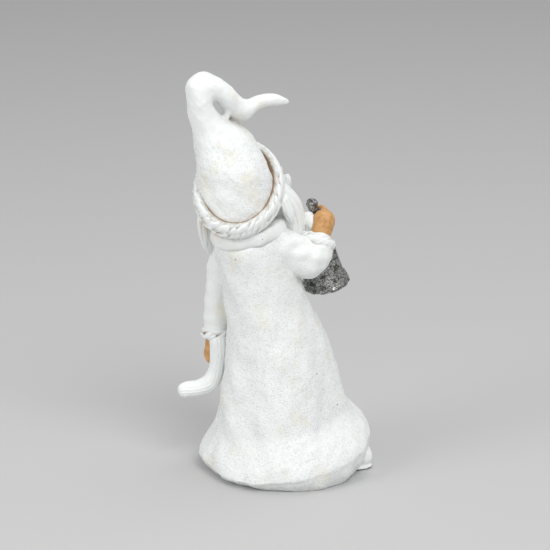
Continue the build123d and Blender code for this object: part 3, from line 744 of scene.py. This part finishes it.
class GNOME_OT_hat(bpy.types.Operator):
    """Folded hat, the carved fur brim round its rim and the fur cuffs"""

    bl_idname = "gnome.hat"
    bl_label = "Hat and fur"

    def execute(self, context):
        depth = context.scene.gnome_sizes.tuft_depth
        finish_piece(make_hat(), bpy.data.materials["glitter_snow_paint"], "snow_coat", "hat")
        fur = carved_material("fur_paint_with_painted_shade", context.scene.gnome_colours)
        around = 13.6
        brim = fur_ring("hat_brim", HEAD, RIM_SIDE, RIM_NORMAL, around, around / cos(RIM_TILT),
                        2.5, 3.7, 46, 4, depth * 0.85, 11)
        finish_piece(brim, fur, "fur_trim", "hat_brim")
        cuff = fur_ring("right_cuff", RIGHT_WRIST, (1, 0, 0), RIGHT_FIST - RIGHT_WRIST, 4.9, 4.9,
                        1.7, 2.5, 20, 3, depth * 0.6, 12)
        finish_piece(cuff, fur, "fur_trim", "right_cuff")
        cuff = fur_ring("left_cuff", LEFT_WRIST, (1, 0, 0), LEFT_WRIST - LEFT_FIST, 4.5, 4.5,
                        1.2, 2.0, 18, 2, depth * 0.55, 13)
        finish_piece(cuff, fur, "fur_trim", "left_cuff")
        return {"FINISHED"}


# ---------------------------------------------------------------- face
def make_head():
    """Round head with cheeks and brow."""
    parts = [limb("skull", (
        (*SHOULDERS, 8, 8), (*(HEAD - UP * 8), 11.4, 11.4), (*(HEAD - UP), 12.2, 12.2)))]
    for hand in (-1, 1):
        cheek = on_face(9.6, hand * 4.6, -1.6)
        parts.append(limb("cheek", ((*cheek, 3.2, 3.2), (*(cheek + FACE_LEFT * hand * 1.4), 3.0, 3.0)), UP))
        brow = on_face(10.2, hand * 4.0, 3.4)
        parts.append(limb("brow", ((*brow, 2.2, 2.2), (*(brow + FACE_LEFT * hand * 2.0), 2.0, 2.0)), UP))
    return merge("head", parts, 0.45, 8)


def make_nose():
    """Small round nose with two wings."""
    parts = [limb("ridge", (
        (*on_face(12.6, 0, 1.4), 1.3, 1.3), (*on_face(14.0, 0, -0.4), 2.3, 2.3),
        (*on_face(15.0, 0, -1.2), 2.7, 2.6)))]
    for hand in (-1, 1):
        wing = on_face(13.8, hand * 1.7, -1.5)
        parts.append(limb("wing", ((*wing, 1.4, 1.4), (*(wing + FACE_FORWARD * 0.6), 1.4, 1.4))))
    return merge("nose", parts, 0.25, 6)


class GNOME_OT_face(bpy.types.Operator):
    """Head, nose and eyes of a plain, friendly gnome"""

    bl_idname = "gnome.face"
    bl_label = "Face"

    def execute(self, context):
        skin = skin_material(context.scene.gnome_colours)
        finish_piece(make_head(), skin, "skin", "head")
        finish_piece(make_nose(), skin, "skin", "nose")
        bead = bead_material()
        for name, hand in (("eye_right", -1), ("eye_left", 1)):
            eye = on_face(12.0, hand * 3.7, 1.2)
            rows = ((*(eye - FACE_LEFT * 0.3), 0.75, 0.95), (*(eye + FACE_LEFT * 0.3), 0.75, 0.95))
            finish_piece(limb(name, rows, FACE_FORWARD), bead, "skin")
        return {"FINISHED"}


# ---------------------------------------------------------------- hair
def strand_relief(turn, run, strands, wave, seed):
    """Height 0 to 1 of wavy strands, from the angle round the lock and the share of its length."""
    shift = wave * np.sin(run * 7.0 + seed) + 0.4 * wave * np.sin(run * 17.0 + 2 * seed + turn)
    broad = np.abs(np.cos(0.5 * strands * (turn + shift)))
    fine = np.abs(np.cos(1.5 * strands * (turn + shift) + seed))
    return 0.74 * np.sqrt(broad) + 0.26 * np.sqrt(fine)


def lock(name, rows, side, strands, depth, wave=0.12, sides=96, steps=10, seed=1.0):
    """Lock of hair along a smooth line, carved into wavy strands."""
    side = np.array(Vector(side).normalized())
    line = through(rows, steps)
    run = np.gradient(line[:, :3], axis=0)
    piece = limb(name, rows, side, steps, sides)
    places = points(piece)
    nearest = np.argmin(((places[:, None, :] - line[None, :, :3]) ** 2).sum(axis=2), axis=1)
    forward = run / np.linalg.norm(run, axis=1)[:, None]
    across = side - forward * (forward @ side)[:, None]
    across /= np.linalg.norm(across, axis=1)[:, None]
    outer = np.cross(forward, across)
    off = places - line[nearest, :3]
    turn = np.arctan2((off * outer[nearest]).sum(axis=1) / line[nearest, 4],
                      (off * across[nearest]).sum(axis=1) / line[nearest, 3])
    relief = strand_relief(turn, nearest / (len(line) - 1), strands, wave, seed)
    fade = np.minimum(1, np.minimum(line[nearest, 3], line[nearest, 4]) / (2.2 * depth))
    pull(piece, places + normals(piece) * ((relief - 0.75) * depth * fade)[:, None])
    # Painted shade: grey to brown laid into the grooves between strands.
    return paint(piece, "deep_shade", (1 - relief) * 0.9)


# (left, back, height, half width, half depth)
BEARD_ROWS = (
    (12.3, 7.4, 103.5, 12.0, 5.0), (10.9, 5.2, 99.5, 13.2, 7.4), (7.9, 0.9, 93.5, 12.9, 7.8),
    (6.5, -1.5, 86.0, 10.6, 6.8), (7.0, -2.4, 78.0, 7.6, 5.2), (8.0, -3.6, 71.0, 3.8, 3.2),
    (8.7, -4.9, 66.2, 0.9, 0.9),
)
HAIR_LEFT_ROWS = (
    (21.6, 19.4, 95.0, 3.2, 1.8), (21.9, 19.6, 91.0, 3.4, 1.9), (21.6, 19.4, 86.0, 2.9, 1.7),
    (21.2, 19.1, 82.0, 1.7, 1.1), (21.0, 18.9, 79.6, 0.4, 0.4),
)
HAIR_RIGHT_ROWS = (
    (-3.6, 6.0, 101.0, 3.0, 1.7), (-4.6, 5.2, 97.5, 3.2, 1.8), (-5.3, 4.2, 94.5, 2.2, 1.3),
    (-5.6, 3.5, 92.2, 0.4, 0.4),
)


def moustache_rows(hand):
    """Half of the moustache, from under the nose round to its upturned end."""
    return (
        (*on_face(14.4, hand * 0.7, -3.6), 1.6, 1.6), (*on_face(15.6, hand * 4.2, -5.2), 2.5, 2.3),
        (*on_face(15.2, hand * 8.7, -4.4), 2.1, 2.0), (*on_face(13.7, hand * 12.3, -1.6), 1.7, 1.5),
        (*on_face(12.4, hand * 13.5, 1.6), 1.2, 1.1), (*on_face(12.2, hand * 13.3, 2.9), 0.9, 0.9))


def eyebrow_rows(hand):
    return (
        (*on_face(12.6, hand * 1.6, 2.6), 0.8, 0.8), (*on_face(12.9, hand * 3.8, 3.6), 1.2, 1.1),
        (*on_face(12.0, hand * 6.4, 3.4), 1.0, 0.9), (*on_face(10.8, hand * 8.2, 2.2), 0.4, 0.4))


class GNOME_OT_hair(bpy.types.Operator):
    """Beard, moustache, eyebrows and the locks under the brim"""

    bl_idname = "gnome.hair"
    bl_label = "Beard and hair"

    def execute(self, context):
        deep = context.scene.gnome_sizes.strand_depth
        white = carved_material("hair_paint_with_painted_shade", context.scene.gnome_colours, 0.45)
        beard = lock("beard", BEARD_ROWS, FACE_LEFT, 17, deep * 1.5, 0.10, 160, 14, 2.0)
        finish_piece(beard, white, "hair", "beard")
        for word, hand in (("right", -1), ("left", 1)):
            half = lock(f"moustache_{word}", moustache_rows(hand), FACE_FORWARD, 9, deep,
                        0.2, 56, 8, 3.0 + hand)
            finish_piece(half, white, "hair", f"moustache_{word}")
            brow = lock(f"eyebrow_{word}", eyebrow_rows(hand), FACE_FORWARD, 7, deep * 0.7, 0.2, 40, 6, 5.0)
            finish_piece(brow, white, "hair")
        left = lock("hair_left", HAIR_LEFT_ROWS, (0, 1, 0), 7, deep, 0.2, 56, 8, 6.0)
        finish_piece(left, white, "hair", "hair_left")
        right = lock("hair_right", HAIR_RIGHT_ROWS, (0.5, -1, 0), 7, deep, 0.2, 56, 8, 7.0)
        finish_piece(right, white, "hair", "hair_right")
        return {"FINISHED"}


# ---------------------------------------------------------------- hands
def make_right_hand():
    """Fist closed round the bell's handle."""
    parts = [limb("palm", (
        (*(RIGHT_WRIST - UP), 3.4, 3.4), (-8.3, -8.4, 87.6, 3.7, 3.9), (-7.9, -10.3, 91.0, 4.0, 4.2)))]
    for finger in range(4):
        level = BELL_LINE * (2.15 * (finger - 1.5))
        knuckle = Vector((-7.8, -12.6, 90.2)) + level
        bend = GRIP + level + Vector((-1.2, -3.3, 0.0))
        tip = GRIP + level + Vector((2.2, -2.2, 0.0))
        rows = ((*knuckle, 1.55, 1.3), (*bend, 1.5, 1.25), (*tip, 1.25, 1.1))
        parts.append(limb("finger", rows, BELL_LINE, 6, 16))
    hand = merge("right_hand", parts, 0.25, 5)
    # A white patch on top of the fist, next to the handle's knob.
    away = np.linalg.norm(points(hand) - np.array((-4.6, -10.2, 94.2)), axis=1)
    return paint(hand, "white_patch", 0.75 * np.exp(-((away / 2.6) ** 2)))


def make_thumb():
    thumb = limb("thumb", (
        (-6.4, -7.4, 88.4, 1.9, 1.9), (-4.4, -7.3, 90.3, 2.25, 2.2), (-3.0, -7.5, 92.2, 2.0, 1.9)))
    return merge("right_thumb", [thumb], 0.3, 3)


def make_left_hand():
    """Hand that holds the stocking's top."""
    parts = [limb("palm", (
        (*(LEFT_WRIST + UP * 0.5), 3.0, 3.0), (24.8, 12.2, 44.4, 3.4, 3.2), (25.6, 12.2, 40.2, 2.8, 3.4)))]
    for finger in range(4):
        root = Vector((26.6, 10.2 + 1.35 * finger, 41.0))
        tip = Vector((25.4, 10.4 + 1.35 * finger, 37.2))
        middle = (root + tip) / 2 + Vector((0.7, 0, 0))
        rows = ((*root, 1.1, 1.2), (*middle, 1.1, 1.2), (*tip, 0.9, 1.0))
        parts.append(limb("finger", rows, (0, 1, 0), 6, 16))
    return merge("left_hand", parts, 0.25, 5)


class GNOME_OT_hands(bpy.types.Operator):
    """Fist with its thumb round the bell's handle, and the hand that holds the stocking"""

    bl_idname = "gnome.hands"
    bl_label = "Hands"

    def execute(self, context):
        skin = bpy.data.materials["tan_skin_paint"]
        white = plain_material("overpainted_white", context.scene.gnome_colours, 0.2)
        finish_piece(make_right_hand(), skin, "skin", "right_hand")
        finish_piece(make_thumb(), white, "skin")
        finish_piece(make_left_hand(), skin, "skin", "left_hand")
        return {"FINISHED"}


# ---------------------------------------------------------------- bell
# (radius, height from the crown along the bell's axis)
BELL_OUTER = (
    (0.4, 0.0), (2.6, -0.15), (4.3, -0.9), (5.4, -2.3), (6.0, -4.6), (6.4, -8.0), (7.1, -11.2),
    (8.2, -13.8), (8.7, -15.2), (8.5, -16.0),
)
BELL_INNER = (
    (7.7, -16.0), (7.2, -14.6), (6.2, -11.2), (5.4, -7.4), (4.6, -3.6), (2.6, -1.7), (0.2, -1.4),
)


def make_bell_shell():
    """Flared cup, thin at the lip and dented like beaten foil."""
    profile = np.vstack([through(BELL_OUTER, 4), through(BELL_INNER, 4)])
    rings = [ring(BELL_CROWN + BELL_LINE * up, (1, 0, 0), BELL_LINE, r, r) for r, up in profile]
    return lump(lofted("bell_shell", rings, 72), 2.4, 0.16, 8)


def make_bell_handle():
    """Bent stem with a foot and a knob, uneven as if wrapped."""
    stem = limb("stem", (
        (*(BELL_CROWN + BELL_LINE * 0.6), 1.5, 1.5), (-2.9, -12.2, 85.5, 1.2, 1.2),
        (-3.1, -11.9, 89.5, 1.2, 1.2), (-3.3, -11.7, 92.6, 1.4, 1.4), (-3.1, -10.6, 94.6, 1.6, 1.6)))
    knob = limb("knob", ((-3.0, -10.0, 95.2, 1.9, 1.9), (-2.9, -9.5, 96.4, 2.1, 2.1)))
    low, high = BELL_CROWN + BELL_LINE * 0.3, BELL_CROWN + BELL_LINE * 0.9
    foot = limb("foot", ((*low, 2.3, 2.3), (*high, 2.1, 2.1)))
    return lump(merge("bell_handle", [stem, knob, foot], 0.3, 3), 1.5, 0.12, 9)


def make_clapper():
    ball = BELL_CROWN - BELL_LINE * 7.7
    top = BELL_CROWN - BELL_LINE * 0.9
    rod = limb("rod", ((*top, 0.6, 0.6), (*ball, 0.6, 0.6)), sides=16)
    low, high = ball - BELL_LINE * 0.3, ball + BELL_LINE * 0.3
    drop = limb("drop", ((*high, 1.6, 1.6), (*low, 1.7, 1.7)))
    return merge("bell_clapper", [rod, drop], 0.25, 3)


class GNOME_OT_bell(bpy.types.Operator):
    """Hand bell: flared shell, handle with a knob, and clapper"""

    bl_idname = "gnome.bell"
    bl_label = "Bell"

    def execute(self, context):
        leaf = leaf_material(context.scene.gnome_colours)
        finish_piece(make_bell_shell(), leaf, "silver", "bell_shell")
        finish_piece(make_bell_handle(), leaf, "silver", "bell_handle")
        finish_piece(make_clapper(), leaf, "silver", "bell_clapper")
        return {"FINISHED"}


# ---------------------------------------------------------------- stocking and boots
STOCKING_ROWS = (
    (21.4, 13.4, 45.6, 3.7, 3.4), (21.6, 13.2, 41.0, 3.7, 3.3), (22.2, 13.4, 36.6, 3.1, 2.9),
    (22.9, 14.0, 32.8, 3.0, 2.9), (24.2, 15.8, 29.4, 3.5, 3.1), (26.6, 18.8, 27.6, 3.0, 2.9),
    (28.9, 21.6, 27.2, 3.1, 2.9), (29.7, 22.6, 27.0, 2.9, 2.8),
)


class GNOME_OT_stocking(bpy.types.Operator):
    """Stocking with ribs down its leg and a smooth foot"""

    bl_idname = "gnome.stocking"
    bl_label = "Stocking"

    def execute(self, context):
        knit = carved_material("knit_paint_with_painted_shade", context.scene.gnome_colours, 0.25)
        sock = lock("stocking", STOCKING_ROWS, (0.7, -0.7, 0), 15, 0.42, 0.15, 72, 8, 4.0)
        # Painted shade in the grooves of the leg's ribs only; the foot keeps none.
        leg = np.clip((points(sock)[:, 2] - 30) / 5, 0, 1)
        paint(sock, "deep_shade", painted(sock, "deep_shade") * leg)
        finish_piece(sock, knit, "knit", "stocking")
        return {"FINISHED"}


BOOT_PLACES = {"right_boot": ((-12.4, -6.2), (-20.6, -14.5)), "left_boot": ((9.5, -13.0), (12.0, -24.6))}


def make_boot(name, heel, toe):
    """Blunt boot: a full upper pressed on to a flat welted sole."""
    heel, toe = Vector((*heel, 0)), Vector((*toe, 0))
    run = (toe - heel).normalized()
    side = run.cross(UP)
    middle = heel.lerp(toe, 0.5)
    upper = limb("upper", (
        (*(heel + UP * 4.8), 4.9, 4.6), (*(middle + UP * 4.6), 5.2, 4.3),
        (*(toe + UP * 4.4), 6.0, 4.6), (*(toe + run * 1.4 + UP * 4.2), 5.6, 4.2)), side, 6, 40)
    sole = limb("sole", (
        (*(heel + UP * 0.9), 5.4, 0.9), (*(middle + UP * 0.9), 5.2, 0.9),
        (*(toe + UP * 0.9), 6.3, 0.9), (*(toe + run * 4.6 + UP * 0.9), 3.9, 0.9)), side, 6, 40)
    boot = lump(merge(name, [upper, sole], 0.45, 5), 3.0, 0.15, 10)
    places = points(boot)
    places[:, 2] = np.maximum(places[:, 2], 0.02)
    pull(boot, places)
    # Brown along the bottom edge within 1.6 mm of the ground, strongest towards the toe.
    edge = np.clip(1 - places[:, 2] / 1.6, 0, 1)
    tip = np.clip(((places - np.array(toe)) @ np.array(run)) / 5, 0, 1)
    return paint(boot, "brown_base_edge", edge * (0.35 + 0.65 * tip))


class GNOME_OT_boots(bpy.types.Operator):
    """Blunt boots with a welt"""

    bl_idname = "gnome.boots"
    bl_label = "Boots"

    def execute(self, context):
        material = boot_material(context.scene.gnome_colours)
        for name, (heel, toe) in BOOT_PLACES.items():
            finish_piece(make_boot(name, heel, toe), material, "boot", name)
        return {"FINISHED"}


# ---------------------------------------------------------------- stage
VIEW_TURN = radians(222.0)
VIEW_RISE = radians(17.0)
VIEW_AIM = Vector((0, 0, 67.0))
VIEW_AWAY = 900.0
LENS = 165.0              # mm, on a sensor 36 mm wide
LENS_SHIFT = (-0.0236, 0.0218)


def aim(thing, spot):
    thing.rotation_euler = (Vector(spot) - thing.location).to_track_quat("-Z", "Y").to_euler()


def softbox(name, place, size, power):
    bpy.ops.object.light_add(type="AREA", location=Vector(place) * MM)
    lamp = bpy.context.object
    lamp.name = name
    lamp.data.shape = "DISK"
    lamp.data.size = size * MM
    lamp.data.energy = power
    aim(lamp, (0, 0, 0.06))


def make_floor(colours):
    """Plain matte grey ground."""
    start_modelling()
    bpy.ops.mesh.primitive_plane_add(size=6.0, location=(0, 0, 0))
    floor = named("floor")
    material, tree, shader = new_material("matte_grey_sweep", 0.9, Specular_IOR_Level=0.1)
    tone = mixed(tree, noise(tree, 400.0), linear(colours.floor), linear("C2C2C2"))
    tree.links.new(tone, shader.inputs["Base Color"])
    floor.data.materials.append(material)


def make_camera(scene):
    bpy.ops.object.camera_add()
    camera = bpy.context.object
    level = cos(VIEW_RISE)
    out = Vector((sin(VIEW_TURN) * level, -cos(VIEW_TURN) * level, sin(VIEW_RISE)))
    camera.location = (VIEW_AIM + out * VIEW_AWAY) * MM
    aim(camera, VIEW_AIM * MM)
    camera.data.lens = LENS
    camera.data.shift_x = LENS_SHIFT[0]
    camera.data.shift_y = LENS_SHIFT[1]
    camera.data.clip_start = 0.01
    scene.camera = camera


class GNOME_OT_stage(bpy.types.Operator):
    """Plain grey floor, soft lamps and the camera"""

    bl_idname = "gnome.stage"
    bl_label = "Stage"

    def execute(self, context):
        make_floor(context.scene.gnome_colours)
        toward = Vector((sin(VIEW_TURN), -cos(VIEW_TURN), 0))
        right = Vector((cos(VIEW_TURN), sin(VIEW_TURN), 0))
        softbox("key", toward * 700 + right * 350 + UP * 900, 700, 6.2)
        softbox("fill", toward * 500 - right * 800 + UP * 500, 600, 3.2)
        softbox("top", -toward * 200 + right * 150 + UP * 1100, 700, 2.8)
        world = bpy.data.worlds.new("studio")
        world.use_nodes = True
        context.scene.world = world
        background = world.node_tree.nodes["Background"]
        background.inputs["Color"].default_value = linear("E6E6E6")
        background.inputs["Strength"].default_value = 0.62
        make_camera(context.scene)
        context.scene.view_settings.view_transform = "Standard"
        return {"FINISHED"}


# ---------------------------------------------------------------- add-on
STEPS = (
    GNOME_OT_coat, GNOME_OT_hat, GNOME_OT_face, GNOME_OT_hair, GNOME_OT_hands, GNOME_OT_bell,
    GNOME_OT_stocking, GNOME_OT_boots, GNOME_OT_stage,
)


class GNOME_PT_panel(bpy.types.Panel):
    """Sidebar panel with the figure's settings and steps"""

    bl_idname = "GNOME_PT_panel"
    bl_label = "Garden gnome"
    bl_space_type = "VIEW_3D"
    bl_region_type = "UI"
    bl_category = "Gnome"

    def draw(self, context):
        for settings in (context.scene.gnome_sizes, context.scene.gnome_colours):
            for key in settings.__annotations__:
                self.layout.prop(settings, key)
        for step in STEPS:
            self.layout.operator(step.bl_idname)


CLASSES = (GnomeSizes, GnomeColours, *STEPS, GNOME_PT_panel)


def register():
    for made in CLASSES:
        bpy.utils.register_class(made)
    bpy.types.Scene.gnome_sizes = bpy.props.PointerProperty(type=GnomeSizes)
    bpy.types.Scene.gnome_colours = bpy.props.PointerProperty(type=GnomeColours)


def unregister():
    del bpy.types.Scene.gnome_colours
    del bpy.types.Scene.gnome_sizes
    for made in reversed(CLASSES):
        bpy.utils.unregister_class(made)


def main():
    register()
    bpy.ops.gnome.coat()
    bpy.ops.gnome.hat()
    bpy.ops.gnome.face()
    bpy.ops.gnome.hair()
    bpy.ops.gnome.hands()
    bpy.ops.gnome.bell()
    bpy.ops.gnome.stocking()
    bpy.ops.gnome.boots()
    bpy.ops.gnome.stage()


if __name__ == "__main__":
    main()
